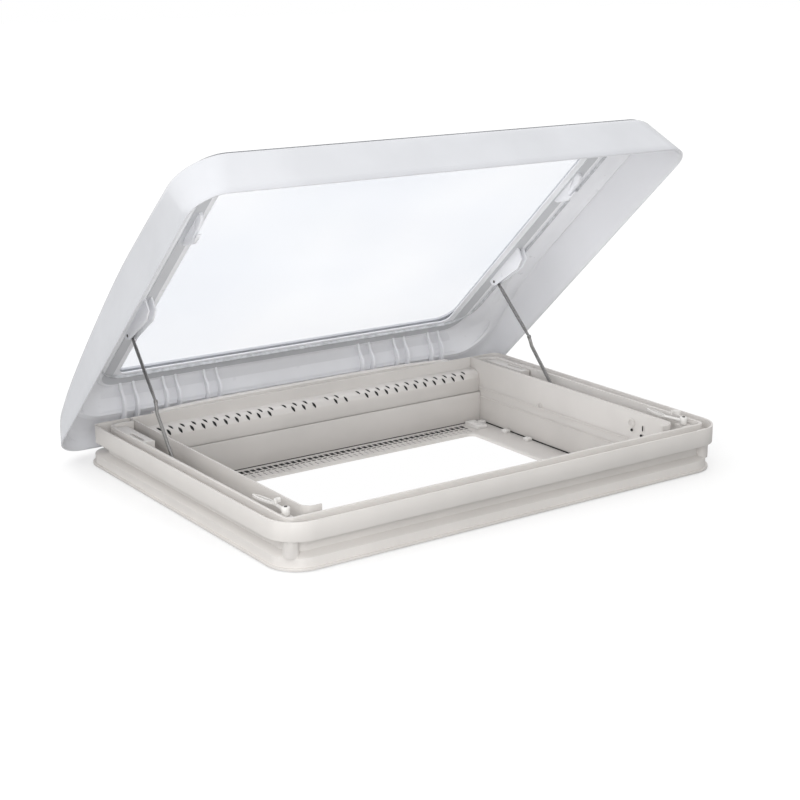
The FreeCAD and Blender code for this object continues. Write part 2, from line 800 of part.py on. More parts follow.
def dome_solid(inset, drop):
    """The dome's outer form drawn in by an inset, with its rim lowered by a drop."""
    half, front, rear = dim("dome_half_width") - inset, dim("dome_front") - inset, dim("dome_rear") - inset
    rim, draft = dim("dome_rim"), dim("dome_draft")
    skirt = Part.makeLoft([
        rounded_wire(half, front, rear, dim("dome_corner") - inset, rim - drop),
        rounded_wire(half - draft, front - draft, rear - draft, dim("dome_upper_corner") - inset,
                     rim + dim("dome_shoulder")),
    ], True, True)

    margin_line = [
        Vector(0, reach - dim("dome_front"), rim + height - inset) for reach, height in MARGIN_PROFILE
    ]
    curve = Part.BSplineCurve()
    curve.interpolate(margin_line)
    below = rim - 60
    low_front, low_rear = Vector(0, margin_line[0].y, below), Vector(0, margin_line[-1].y, below)
    outline = [curve.toShape(), Part.makeLine(margin_line[-1], low_rear), Part.makeLine(low_rear, low_front),
               Part.makeLine(low_front, margin_line[0])]
    side_view = Part.Face(Part.Wire(outline))
    side_view.translate(Vector(-half - draft, 0, 0))
    margin = skirt.common(side_view.extrude(Vector(2 * (half + draft), 0, 0)))
    crown = Part.makeLoft([
        rounded_wire(across - inset, ahead - inset, behind - inset, radius - inset, rim + height - inset)
        for across, ahead, behind, radius, height in CROWN_PROFILE
    ], True, True)
    return margin.fuse(crown).removeSplitter()


def window_outline(margin, height):
    """The window's outline at a height, drawn out by a margin."""
    return rounded_wire(dim("window_half_width") + margin, dim("window_front") + margin,
                        dim("window_rear") + margin, dim("window_corner") + margin, height)


def make_dome_shell():
    """Thin moulded dome with a skirt all round and a raised crown with a window."""
    outer = dome_solid(0, 0)
    inner = dome_solid(dim("dome_wall"), 5)
    top = dim("dome_rim") + dim("dome_crown")
    window = Part.Face(window_outline(0, top - 20)).extrude(Vector(0, 0, 40))
    return closed_feature("dome_shell", outer.cut(inner).cut(window))


def make_outer_pane():
    """Clear outer pane on the crown, over the window."""
    top = dim("dome_rim") + dim("dome_crown")
    pane = Part.Face(window_outline(dim("window_lap"), top)).extrude(Vector(0, 0, dim("window_thickness")))
    return closed_feature("outer_pane", pane)


def make_surround():
    """Inner frame of the dome round the pane."""
    underside = dim("pane_underside") - 3
    outer = rounded_wire(dim("surround_half_width"), dim("surround_front"), dim("surround_rear"),
                         dim("surround_corner"), underside)
    lap = dim("pane_lap")
    hole = rounded_wire(dim("pane_half_width") - lap, dim("pane_front") - lap, dim("pane_rear") - lap,
                        dim("pane_corner") - 2, underside)
    plate = Part.Face(outer).cut(Part.Face(hole)).extrude(Vector(0, 0, dim("surround_thickness")))
    return closed_feature("dome_inner_frame", plate.common(dome_solid(dim("dome_wall"), 5)))


def make_pane():
    """Clear inner pane, held above the inner frame."""
    body = new_body("clear_pane")
    outline = [cell("pane_half_width"), cell("pane_front"), cell("pane_rear"),
               cell("pane_corner"), cell("pane_corner")]
    layer(body, "PaneSketch", outline, cell("pane_underside"), cell("pane_thickness"))
    return body


def make_pane_gasket():
    """Soft strip that seats the pane on the inner frame."""
    body = new_body("pane_gasket")
    low = "Sheet.pane_underside - 0.4"
    outline = ["Sheet.pane_half_width + 3.5", "Sheet.pane_front + 3.5", "Sheet.pane_rear + 3.5",
               "Sheet.pane_corner + 3.5", "Sheet.pane_corner + 3.5"]
    layer(body, "GasketOuter", outline, low, "4")
    hole = ["Sheet.pane_half_width + 0.1", "Sheet.pane_front + 0.1", "Sheet.pane_rear + 0.1",
            "Sheet.pane_corner + 0.1", "Sheet.pane_corner + 0.1"]
    well(body, "GasketInner", [hole], low + " + 4", "5")
    return body


def make_dome_seal():
    """Weather seal under the inner frame, above the second wall."""
    body = new_body("dome_seal")
    low = "Sheet.pane_underside - 3 - 6"
    outline = ["Sheet.wall_half_width - 9", "Sheet.wall_front", "Sheet.wall_rear + 8", "20", "60"]
    layer(body, "SealOuter", outline, low, "6")
    hole = ["Sheet.wall_half_width - 12", "Sheet.wall_front - 3", "Sheet.wall_rear + 5", "17", "57"]
    well(body, "SealInner", [hole], low + " + 6", "7")
    return body


def make_hinge_ears(label, across):
    """Pair of ears inside the dome's rear skirt that straddle a hinge bracket."""
    hinge_y, hinge_z = dim("hinge_depth"), dim("hinge_height")
    knuckle, width = dim("knuckle_radius"), dim("ear_thickness")
    near = dim("bracket_width") / 2 + dim("ear_play")
    top = dim("pane_underside") - 3 - hinge_z
    profile = [(-knuckle, 0), (knuckle, 0), (4.6, 6), (0, 14.5), (-10, 20.5), (-29.4, 27.5),
               (-35, 29.5), (-38.5, 33), (-51.5, top), (-58, top), (-52, 52), (-51, 34), (-40, 20)]
    corners = [Vector(0, hinge_y + y, hinge_z + z) for y, z in profile]
    plate = Part.Face(Part.makePolygon(corners + [corners[0]])).extrude(Vector(width, 0, 0))
    disc = Part.makeCylinder(knuckle, width, Vector(0, hinge_y, hinge_z), Vector(1, 0, 0))
    bore = Part.makeCylinder(dim("pin_radius"), 3 * width, Vector(-width, hinge_y, hinge_z), Vector(1, 0, 0))
    ear = plate.fuse(disc).cut(bore)
    pair = []
    for low in (across - near - width, across + near):
        copy = ear.copy()
        copy.translate(Vector(low, 0, 0))
        pair.append(copy)
    web = Part.makeBox(2 * near, 5.5, 3, Vector(across - near, hinge_y - 58, hinge_z + top - 3))
    return closed_feature(label, web.fuse(pair).removeSplitter())


def make_stay_housing(name, side):
    """Two cheeks and a bridge on the inner frame that hold the top of a stay."""
    top = "Sheet.pane_underside - 3"
    body = new_body("stay_housing_" + name)
    middle = "%d * Sheet.stay_top_offset" % side
    sketch = new_sketch(body, "CheekSketch", "YZ_Plane", middle)
    pin_y, pin_z = cell("stay_pin_depth"), cell("stay_pin_height")
    polygon(sketch, [
        (pin_y + " + 9", top), (pin_y + " + 9", pin_z), (pin_y + " + 1", pin_z + " - 7"),
        (pin_y + " - 70", pin_z + " - 19"), (pin_y + " - 90", pin_z + " - 13"), (pin_y + " - 94", top),
    ])
    pad(body, sketch, "13.6", midplane=True)
    groove = new_sketch(body, "GrooveSketch", "YZ_Plane", middle)
    polygon(groove, [
        (pin_y + " + 12", top + " - 2.4"), (pin_y + " + 12", pin_z + " - 40"),
        (pin_y + " - 100", pin_z + " - 40"), (pin_y + " - 100", top + " - 2.4"),
    ])
    pocket(body, groove, "8.4", midplane=True)
    bore = new_sketch(body, "BoreSketch", "YZ_Plane", middle)
    circle(bore, pin_y, pin_z, cell("stay_pin_radius"))
    pocket(body, bore, "20", midplane=True)
    return body


def make_stay_pin(name, side):
    """Pin through the housing's cheeks and the stay's eye."""
    start = "%d * Sheet.stay_top_offset - 7.2" % side
    return cylinder("StayPin_" + name, (start, cell("stay_pin_depth"), cell("stay_pin_height")),
                    cell("stay_pin_radius"), "14.4", Vector(1, 0, 0))


def make_catch(name, side):
    """Catch plate under the inner frame, with a toe that the latch blade slides over."""
    body = new_body("catch_" + name)
    sketch = new_sketch(body, "CatchSketch", "YZ_Plane", "%d * Sheet.catch_offset" % side)
    top = "Sheet.pane_underside - 3"
    blade = "Sheet.latch_lever_height"
    polygon(sketch, [
        ("-98", top), ("-104", "84"), ("-128", blade + " - 2.6"), ("-150", blade + " - 2.6"),
        ("-150", blade + " - 0.8"), ("-136", blade + " - 0.8"), ("-136", blade + " + 3.6"),
        ("-168", blade + " + 5"), ("-176", "84"), ("-176", top),
    ])
    pad(body, sketch, cell("catch_thickness"), midplane=True)
    slot = new_sketch(body, "SlotSketch", "YZ_Plane", "%d * Sheet.catch_offset" % side)
    polygon(slot, [("-140", "81"), ("-142.5", "82.5"), ("-162", "90"), ("-160", "87")])
    pocket(body, slot, "10", midplane=True)
    return body


# ------------------------------------------------------------------ stays, in the open pose


def open_pose():
    """The turn that carries the closed dome to its open place."""
    centre = Vector(0, dim("hinge_depth"), dim("hinge_height"))
    return Placement(Vector(), Rotation(Vector(1, 0, 0), -dim("open_angle")), centre)


def stay_points(side):
    """Eye, knee and foot of a stay with the dome open, as points in space."""
    eye = open_pose().multVec(Vector(0, dim("stay_pin_depth"), dim("stay_pin_height")))
    eye.x = side * dim("stay_top_offset")
    foot = Vector(side * dim("stay_foot_offset"), dim("stay_foot_depth"), dim("stay_foot_height"))
    knee = eye + (foot - eye) * 0.44
    knee.x = side * (dim("stay_top_offset") + 4.5)
    return eye, knee, foot


def bar_between(start, end, width, height):
    """A straight flat bar between two points in a plane of constant X, with rounded ends."""
    across = Vector(width / 2, 0, 0)
    reach = Vector(0, end.y - start.y, end.z - start.z)
    normal = Vector(0, -reach.z, reach.y).normalize() * (height / 2)
    corners = [start + normal, end + normal, end - normal, start - normal]
    level = [Vector(start.x, p.y, p.z) - across for p in corners]
    bar = Part.Face(Part.makePolygon(level + [level[0]])).extrude(across * 2)
    for point in (start, end):
        end_centre = Vector(start.x, point.y, point.z) - across
        bar = bar.fuse(Part.makeCylinder(height / 2, width, end_centre, Vector(1, 0, 0)))
    return bar.removeSplitter()


def make_upper_stay(name, side):
    """Upper arm of a stay: a bar with an eye for the housing pin."""
    eye, knee, _ = stay_points(side)
    width = dim("stay_width")
    arm = bar_between(eye, knee, width, dim("upper_stay_height"))
    ring = Part.makeCylinder(dim("stay_eye_radius"), width, eye - Vector(width / 2, 0, 0), Vector(1, 0, 0))
    bore = Part.makeCylinder(dim("stay_pin_radius") + dim("pin_play"), 3 * width,
                             eye - Vector(1.5 * width, 0, 0), Vector(1, 0, 0))
    return closed_feature("upper_stay_" + name, arm.fuse(ring).cut(bore).removeSplitter())


def make_lower_stay(name, side):
    """Lower arm of a stay: a channel that steps outward from the knee to the foot in the track."""
    _, knee, foot = stay_points(side)
    width, height = dim("stay_width"), dim("lower_stay_height")
    start = Vector(side * (dim("stay_top_offset") + width + dim("stay_gap")), knee.y, knee.z)
    along = foot - Vector(foot.x, start.y, start.z)
    bend = start + Vector(0, along.y, along.z) * 0.35
    bend.x = side * dim("stay_foot_offset")
    upper = bar_between(start, Vector(start.x, bend.y, bend.z), width, height)
    lower = bar_between(bend, foot, width, height)
    step_from, step_to = sorted((start.x, bend.x))
    step_base = Vector(step_from, bend.y, bend.z)
    step = Part.makeCylinder(height / 2, step_to - step_from, step_base, Vector(1, 0, 0))
    slope = Vector(0, along.y, along.z)
    groove = bar_between(bend + slope * 0.05, foot - slope * 0.08, 3, 5)
    groove.translate(Vector(-side * 1.6, 0, 0))
    return closed_feature("lower_stay_" + name, upper.fuse([lower, step]).cut(groove).removeSplitter())


def make_stay_shoe(name, side):
    """Round glide on the stay's foot that runs in the track."""
    start = dim("stay_foot_offset") + dim("stay_width") / 2
    reach = dim("shoe_end") - start
    low = side * start if side > 0 else -(start + reach)
    base = (str(low), cell("stay_foot_depth"), cell("stay_foot_height"))
    return cylinder("StayShoe_" + name, base, cell("roller_radius"), str(reach), Vector(1, 0, 0))


# ------------------------------------------------------------------ latches


def make_latch_base(name, side):
    """Block in the trough that carries the latch's upright pin."""
    body = new_body("latch_base_" + name)
    sketch = new_sketch(body, "BlockSketch", "XY_Plane", cell("trough_floor"))
    low, high = sorted((side * dim("latch_base_near"), side * dim("latch_base_far")))
    front, rear = "-Sheet.latch_base_front", "-Sheet.latch_base_rear"
    polygon(sketch, [(str(low), front), (str(high), front), (str(high), rear), (str(low), rear)])
    pad(body, sketch, "Sheet.latch_pivot_height - Sheet.trough_floor")
    bore = new_sketch(body, "BoreSketch", "XY_Plane", cell("latch_pivot_height"))
    circle(bore, "%d * Sheet.latch_offset" % side, "-Sheet.latch_pivot_depth", cell("latch_pin_radius"))
    pocket(body, bore, cell("latch_pin_seat"))
    return body


def make_latch_pin(name, side):
    """Upright pin that the latch lever turns on."""
    base = ("%d * Sheet.latch_offset" % side, "-Sheet.latch_pivot_depth",
            "Sheet.latch_pivot_height - Sheet.latch_pin_seat")
    return cylinder("LatchPin_" + name, base, cell("latch_pin_radius"), cell("latch_pin_length"))


def make_latch_lever(name, side):
    """Flat lever with a blade that swings inward over the catch's toe."""
    body = new_body("latch_lever_" + name)
    low = cell("latch_lever_height")
    blade = new_sketch(body, "BladeSketch", "XY_Plane", low)
    outline = [(357, -196), (358, -150), (361, -144), (366, -144), (370, -152), (370, -190), (367, -204),
               (367, -230), (359, -230), (359, -206)]
    polygon(blade, [(str(side * x), str(y)) for x, y in outline])
    pad(body, blade, "2.5")
    hub = new_sketch(body, "HubSketch", "XY_Plane", "Sheet.latch_pivot_height + 0.3")
    circle(hub, "%d * Sheet.latch_offset" % side, "-Sheet.latch_pivot_depth", cell("latch_hub_radius"))
    pad(body, hub, cell("latch_hub_height"))
    bore = new_sketch(body, "BoreSketch", "XY_Plane", "Sheet.latch_pivot_height + 15")
    circle(bore, "%d * Sheet.latch_offset" % side, "-Sheet.latch_pivot_depth",
           "Sheet.latch_pin_radius + Sheet.pin_play")
    pocket(body, bore, "16")
    return body


def make_latch_hook(name, side):
    """Curled finger grip beside the lever's hub."""
    centre = Vector(side * 362, -214, dim("latch_lever_height") + 2.5)
    height = dim("latch_hook_height")
    band = Part.makeCylinder(dim("latch_hook_radius"), height, centre, Vector(0, 0, 1), 150)
    band = band.cut(Part.makeCylinder(dim("latch_hook_inner"), height, centre))
    band.rotate(centre, Vector(0, 0, 1), -20 if side > 0 else 50)
    return closed_feature("latch_hook_" + name, band)


def make_latch_rod(name, side):
    """Straight rod from the latch block toward the front corner."""
    base = ("%d * Sheet.latch_rod_offset" % side, "-Sheet.latch_rod_front", cell("latch_rod_height"))
    return cylinder("LatchRod_" + name, base, cell("latch_rod_radius"), cell("latch_rod_length"),
                    Vector(0, 1, 0))


def screws(label, places, radius, height, direction=Vector(0, 0, 1)):
    """Identical fasteners kept as one sub-part."""
    heads = []
    for k, base in enumerate(places):
        heads.append(cylinder("%s_%d" % (label, k), [str(v) for v in base], radius, height, direction))
    return fuse(label, heads)


# ------------------------------------------------------------------ assembly

keep(make_outer_frame(), "outer_frame")
keep(make_gasket(), "roof_gasket")
keep(make_lining(), "inner_lining")
keep(make_rear_panel(), "rear_panel")
keep(make_vent_strip(), "vent_strip")
keep(make_tray(), "blind_tray")
keep(make_grille(), "air_grille")
keep(make_clips(), "tray_clips")
keep(make_rear_rail(), "rear_rail")

keep_on_dome(make_dome_shell(), "dome_shell")
keep_on_dome(make_outer_pane(), "outer_pane")
keep_on_dome(make_surround(), "dome_inner_frame")
keep_on_dome(make_pane(), "clear_pane")
keep_on_dome(make_pane_gasket(), "pane_gasket")
keep_on_dome(make_dome_seal(), "dome_seal")

# the three hinges on each side, by their distance from the middle
HINGE_PLACES = {"outer": 305.5, "middle": 229.5, "inner": 154}
pins = []
bracket_screws = []
for name, side in SIDES.items():
    for place, across in HINGE_PLACES.items():
        keep(make_hinge_bracket("hinge_bracket_%s_%s" % (name, place), side * across),
             "hinge_bracket_%s_%s" % (name, place))
        keep_on_dome(make_hinge_ears("hinge_ears_%s_%s" % (name, place), side * across),
                     "hinge_ears_%s_%s" % (name, place))
        pins.append((side * across - 14, cell("hinge_depth"), cell("hinge_height")))
        bracket_screws += [(side * across - 4, 300, 29), (side * across + 4, 300, 29)]
keep_on_dome(screws("HingePins", pins, cell("pin_radius"), "28", Vector(1, 0, 0)), "hinge_pins")
keep(screws("BracketScrews", bracket_screws, "2.6", "1.6"), "bracket_screws")

for name, side in SIDES.items():
    keep(make_grille_end(name, side), "grille_end_" + name)
    keep(make_pedestal(name, side), "pedestal_" + name)
    keep(make_drain_plug(name, side), "drain_plug_" + name)
    keep(make_track(name, side), "stay_track_" + name)
    keep(make_latch_base(name, side), "latch_base_" + name)
    keep(make_latch_pin(name, side), "latch_pin_" + name)
    keep(make_latch_rod(name, side), "latch_rod_" + name)
    keep(make_latch_lever(name, side), "latch_lever_" + name)
    keep(make_latch_hook(name, side), "latch_hook_" + name)
    keep_on_dome(make_stay_housing(name, side), "stay_housing_" + name)
    keep_on_dome(make_stay_pin(name, side), "stay_pin_" + name)
    keep_on_dome(make_catch(name, side), "catch_" + name)
    keep(make_upper_stay(name, side), "upper_stay_" + name)
    keep(make_lower_stay(name, side), "lower_stay_" + name)
    keep(make_stay_shoe(name, side), "stay_shoe_" + name)

doc.recompute()
opened = open_pose()
for obj in dome_parts:
    for prop, _ in list(obj.ExpressionEngine):
        if prop.startswith("Placement") or prop.startswith(".Placement"):
            obj.setExpression(prop, None)
    obj.Placement = opened.multiply(obj.Placement)
doc.recompute()

for obj in doc.Objects:
    if "Invalid" in obj.State or "Error" in obj.State:
        raise RuntimeError("%s failed: %s" % (obj.Label, obj.State))
for obj in parts:
    if obj.Shape.isNull() or not obj.Shape.isValid():
        raise RuntimeError("%s has no valid shape" % obj.Label)
    if not obj.Shape.Solids:
        raise RuntimeError("%s has no solid" % obj.Label)

os.makedirs("parts", exist_ok=True)
for obj in parts:
    obj.Shape.exportStep("parts/%s.step" % obj.Label)
print("wrote %d sub-parts" % len(parts))
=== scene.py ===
import json
import math

import bmesh
import bpy
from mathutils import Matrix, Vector


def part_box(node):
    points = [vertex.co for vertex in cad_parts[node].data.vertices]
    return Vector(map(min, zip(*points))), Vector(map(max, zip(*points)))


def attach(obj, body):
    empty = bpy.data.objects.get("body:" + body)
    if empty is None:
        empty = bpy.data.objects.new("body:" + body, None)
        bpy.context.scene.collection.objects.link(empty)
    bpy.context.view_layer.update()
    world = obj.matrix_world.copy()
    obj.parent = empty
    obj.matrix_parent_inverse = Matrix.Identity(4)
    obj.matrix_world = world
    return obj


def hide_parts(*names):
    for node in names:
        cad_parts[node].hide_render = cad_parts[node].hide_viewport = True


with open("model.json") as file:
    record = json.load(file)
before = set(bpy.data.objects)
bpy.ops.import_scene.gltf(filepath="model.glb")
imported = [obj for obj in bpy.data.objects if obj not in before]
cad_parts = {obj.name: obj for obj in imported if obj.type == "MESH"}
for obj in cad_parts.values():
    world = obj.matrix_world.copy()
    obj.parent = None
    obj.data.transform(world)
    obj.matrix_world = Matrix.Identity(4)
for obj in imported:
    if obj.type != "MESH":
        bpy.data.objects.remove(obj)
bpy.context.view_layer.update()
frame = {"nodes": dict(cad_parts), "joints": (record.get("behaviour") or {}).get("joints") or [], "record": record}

MM = 0.001


# ------------------------------------------------------------------ materials


def new_material(name):
    """An empty node material with its output and a Principled shader."""
    material = bpy.data.materials.new(name)
    material.use_nodes = True
    tree = material.node_tree
    shader = tree.nodes["Principled BSDF"]
    return material, tree, shader


def noise(tree, scale, detail=2.0, stretch=(1, 1, 1)):
    """A noise pattern over object space, in metres, stretched along the axes."""
    place = tree.nodes.new("ShaderNodeTexCoord")
    mapping = tree.nodes.new("ShaderNodeMapping")
    mapping.inputs["Scale"].default_value = stretch
    pattern = tree.nodes.new("ShaderNodeTexNoise")
    pattern.inputs["Scale"].default_value = scale
    pattern.inputs["Detail"].default_value = detail
    tree.links.new(place.outputs["Object"], mapping.inputs["Vector"])
    tree.links.new(mapping.outputs["Vector"], pattern.inputs["Vector"])
    return pattern.outputs["Fac"]


def ramp(tree, factor, low, high, start=0.35, end=0.65):
    """Two colours over a stretch of a factor."""
    node = tree.nodes.new("ShaderNodeValToRGB")
    first, last = node.color_ramp.elements
    first.position, last.position = start, end
    first.color, last.color = (*low, 1), (*high, 1)
    tree.links.new(factor, node.inputs["Fac"])
    return node.outputs["Color"]


def spread(tree, factor, low, high):
    """A factor mapped from its middle range to a range of numbers."""
    node = tree.nodes.new("ShaderNodeMapRange")
    node.inputs["From Min"].default_value = 0.3
    node.inputs["From Max"].default_value = 0.7
    node.inputs["To Min"].default_value = low
    node.inputs["To Max"].default_value = high
    tree.links.new(factor, node.inputs["Value"])
    return node.outputs["Result"]


def bump(tree, shader, height, strength, distance):
    """Fine relief on a shader."""
    node = tree.nodes.new("ShaderNodeBump")
    node.inputs["Strength"].default_value = strength
    node.inputs["Distance"].default_value = distance
    tree.links.new(height, node.inputs["Height"])
    tree.links.new(node.outputs["Normal"], shader.inputs["Normal"])


def shade(colour, factor):
    """A colour made lighter or darker."""
    return tuple(min(1.0, c * factor) for c in colour)


def plastic(name, colour, roughness, grain=1400, relief=0.12, coat=0.0, variation=0.03):
    """Moulded plastic: slight tone change, fine moulded grain, uneven gloss."""
    material, tree, shader = new_material(name)
    tone = noise(tree, 9, 3)
    colours = ramp(tree, tone, shade(colour, 1 - variation), shade(colour, 1 + variation))
    tree.links.new(colours, shader.inputs["Base Color"])
    gloss = noise(tree, 60, 4)
    tree.links.new(spread(tree, gloss, roughness - 0.05, roughness + 0.05), shader.inputs["Roughness"])
    bump(tree, shader, noise(tree, grain, 2), relief, 0.00005)
    shader.inputs["Coat Weight"].default_value = coat
    shader.inputs["Coat Roughness"].default_value = 0.12
    shader.inputs["Subsurface Weight"].default_value = 0.0
    return material


def metal(name, colour, roughness, stretch=(1, 12, 12)):
    """Drawn metal with fine lines along one direction."""
    material, tree, shader = new_material(name)
    shader.inputs["Metallic"].default_value = 1.0
    lines = noise(tree, 500, 3, stretch)
    tree.links.new(ramp(tree, lines, shade(colour, 0.75), shade(colour, 1.2)), shader.inputs["Base Color"])
    tree.links.new(spread(tree, lines, roughness - 0.08, roughness + 0.1), shader.inputs["Roughness"])
    bump(tree, shader, lines, 0.15, 0.00005)
    return material


def rubber(name, colour):
    """Soft matte seal; also the matte of the near-black painted-shadow pieces."""
    material, tree, shader = new_material(name)
    tone = noise(tree, 120, 4)
    tree.links.new(ramp(tree, tone, shade(colour, 0.85), shade(colour, 1.15)), shader.inputs["Base Color"])
    tree.links.new(spread(tree, tone, 0.6, 0.8), shader.inputs["Roughness"])
    bump(tree, shader, noise(tree, 2200, 2), 0.3, 0.0001)
    return material


def clear_acrylic(name):
    """Clear acrylic: light passes straight through with a faint cool tint, under a thin gloss."""
    material, tree, shader = new_material(name)
    haze = noise(tree, 3, 2)
    shader.inputs["Roughness"].default_value = 0.05
    tree.links.new(ramp(tree, haze, (0.86, 0.88, 0.92), (0.92, 0.93, 0.96)), shader.inputs["Base Color"])
    clear = tree.nodes.new("ShaderNodeBsdfTransparent")
    tree.links.new(ramp(tree, haze, (0.975, 0.98, 0.99), (0.99, 0.992, 0.997)), clear.inputs["Color"])
    mix = tree.nodes.new("ShaderNodeMixShader")
    mix.inputs["Fac"].default_value = 0.05
    tree.links.new(clear.outputs["BSDF"], mix.inputs[1])
    tree.links.new(shader.outputs["BSDF"], mix.inputs[2])
    tree.links.new(mix.outputs["Shader"], tree.nodes["Material Output"].inputs["Surface"])
    return material


MATERIALS = {
    "frame_plastic": plastic("frame_plastic", (0.66, 0.635, 0.61), 0.42),
    "lining_plastic": plastic("lining_plastic", (0.64, 0.615, 0.59), 0.45),
    "dome_plastic": plastic("dome_plastic", (0.665, 0.675, 0.705), 0.22, grain=700, relief=0.03, coat=0.3),
    # the dome plastic's own tint, lightened as painted light for the down-facing inner frame
    "dome_inner_plastic": plastic("dome_inner_plastic", (0.89, 0.895, 0.92), 0.32, relief=0.05),
    "clear_acrylic": clear_acrylic("clear_acrylic"),
    "rubber_seal": rubber("rubber_seal", (0.58, 0.59, 0.61)),
    "white_plastic": plastic("white_plastic", (0.76, 0.745, 0.725), 0.3),
    "grey_nylon": plastic("grey_nylon", (0.45, 0.44, 0.43), 0.5),
    "zinc_steel": metal("zinc_steel", (0.30, 0.295, 0.29), 0.3),
    "dark_steel": metal("dark_steel", (0.10, 0.095, 0.09), 0.4),
}

SLOT_OF = {part["node"]: part["material_slot"] for part in frame["record"]["subparts"]}


def finish_edges(obj, width):
    """Merged, rounded edges that catch the light, as modifiers over an unchanged mesh."""
    weld = obj.modifiers.new("weld", "WELD")
    weld.merge_threshold = 0.00001
    flat = obj.modifiers.new("flat", "DECIMATE")
    flat.decimate_type = "DISSOLVE"
    flat.angle_limit = math.radians(0.6)
    edge = obj.modifiers.new("edge", "BEVEL")
    edge.width = width
    edge.segments = 2
    edge.limit_method = "ANGLE"
    edge.angle_limit = math.radians(40)
    edge.harden_normals = True
    for polygon in obj.data.polygons:
        polygon.use_smooth = True


for name, node in frame["nodes"].items():
    node.data.materials.clear()
    node.data.materials.append(MATERIALS[SLOT_OF[name]])
    if name not in ("clear_pane", "outer_pane"):
        finish_edges(node, 0.0006)

# near-black painted shadow, set into holes, gaps and cells where there is only shade
PAINTED_SHADOW_BLACK = rubber("shadow_black", (0.012, 0.012, 0.012))
# grey painted shade for the inner frame's step, which faces away from the light
STEP_PAINTED_SHADE = plastic("step_painted_shade", (0.60, 0.61, 0.63), 0.4)
# the dome plastic's tint, lightened as painted light for the shell's shaded inside faces
DOME_INSIDE_LIGHTENED = plastic("dome_inside_lightened", (0.84, 0.845, 0.87), 0.4, grain=700, relief=0.0, variation=0.01)


# ------------------------------------------------------------------ mesh helpers, all in millimetres


def add_piece(name, points, faces, body, slot, material=None, instead_of=(), sharp=32):
    """A smooth-shaded mesh piece riding on a body, from points in millimetres."""
    mesh = bpy.data.meshes.new(name)
    mesh.from_pydata([Vector(point) * MM for point in points], [], faces)
    work = bmesh.new()
    work.from_mesh(mesh)
    bmesh.ops.remove_doubles(work, verts=work.verts, dist=0.00001)
    bmesh.ops.recalc_face_normals(work, faces=work.faces)
    work.to_mesh(mesh)
    work.free()
    for polygon in mesh.polygons:
        polygon.use_smooth = True
    mesh.set_sharp_from_angle(angle=math.radians(sharp))
    mesh.materials.append(material or MATERIALS[slot])
    piece = bpy.data.objects.new(name, mesh)
    bpy.context.scene.collection.objects.link(piece)
    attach(piece, body)
    if instead_of:
        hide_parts(*instead_of)
    return piece


def grid_faces(rows, count, wrap_rows=True, wrap_columns=True, first=0):
    """Quads between rows of points, closed along either way or open."""
    faces = []
    for row in range(rows if wrap_rows else rows - 1):
        following = (row + 1) % rows
        for k in range(count if wrap_columns else count - 1):
            after = (k + 1) % count
            faces.append((first + row * count + k, first + row * count + after,
                          first + following * count + after, first + following * count + k))
    return faces


def loft(name, rows, body, slot, **options):
    """A closed ring of skin through rows of points, each row a closed loop."""
    points = [point for row in rows for point in row]
    return add_piece(name, points, grid_faces(len(rows), len(rows[0])), body, slot, **options)


def join_shapes(shapes):
    """Several (points, faces) shapes as one."""
    points, faces = [], []
    for more_points, more_faces in shapes:
        faces += [tuple(k + len(points) for k in face) for face in more_faces]
        points += more_points
    return points, faces


def prism(outline, low, high, axis=2, ease=0.0):
    """An outline in the plane across an axis, made solid from low to high, its ends eased in."""
    middle = [sum(p[k] for p in outline) / len(outline) for k in (0, 1)]

    def place(point, level, draw):
        u, v = (middle[k] + (point[k] - middle[k]) * draw for k in (0, 1))
        return {0: (level, u, v), 1: (u, level, v), 2: (u, v, level)}[axis]

    reach = max(math.dist(p, middle) for p in outline)
    drawn = 1 - ease / reach
    levels = [(low, 1), (high, 1)]
    if ease:
        levels = [(low, drawn), (low + ease, 1), (high - ease, 1), (high, drawn)]
    count = len(outline)
    points = [place(p, level, draw) for level, draw in levels for p in outline]
    faces = grid_faces(len(levels), count, wrap_rows=False)
    faces.append(tuple(reversed(range(count))))
    faces.append(tuple(range((len(levels) - 1) * count, len(levels) * count)))
    return points, faces


def oval(u, v, half_u, half_v, count=20, turn=0.0):
    """Points of an oval in a plane, turned by an angle."""
    points = []
    for k in range(count):
        angle = 2 * math.pi * k / count
        a, b = half_u * math.cos(angle), half_v * math.sin(angle)
        points.append((u + a * math.cos(turn) - b * math.sin(turn),
                       v + a * math.sin(turn) + b * math.cos(turn)))
    return points


def tube_shape(path, radius, sides=10, flat=1.0):
    """A round or flattened bar along a path of points."""
    rings = []
    for k, point in enumerate(path):
        before, after = path[max(k - 1, 0)], path[min(k + 1, len(path) - 1)]
        along = (Vector(after) - Vector(before)).normalized()
        side = along.cross(Vector((1, 0, 0)))
        if side.length < 0.3:
            side = along.cross(Vector((0, 0, 1)))
        side.normalize()
        over = side.cross(along)
        for step in range(sides):
            angle = 2 * math.pi * step / sides
            rings.append(tuple(Vector(point) + side * radius * flat * math.cos(angle)
                               + over * radius * math.sin(angle)))
    faces = grid_faces(len(path), sides, wrap_rows=False)
    faces.append(tuple(reversed(range(sides))))
    faces.append(tuple(range((len(path) - 1) * sides, len(path) * sides)))
    return rings, faces


CORNER_STEPS, SIDE_STEPS = 12, 16


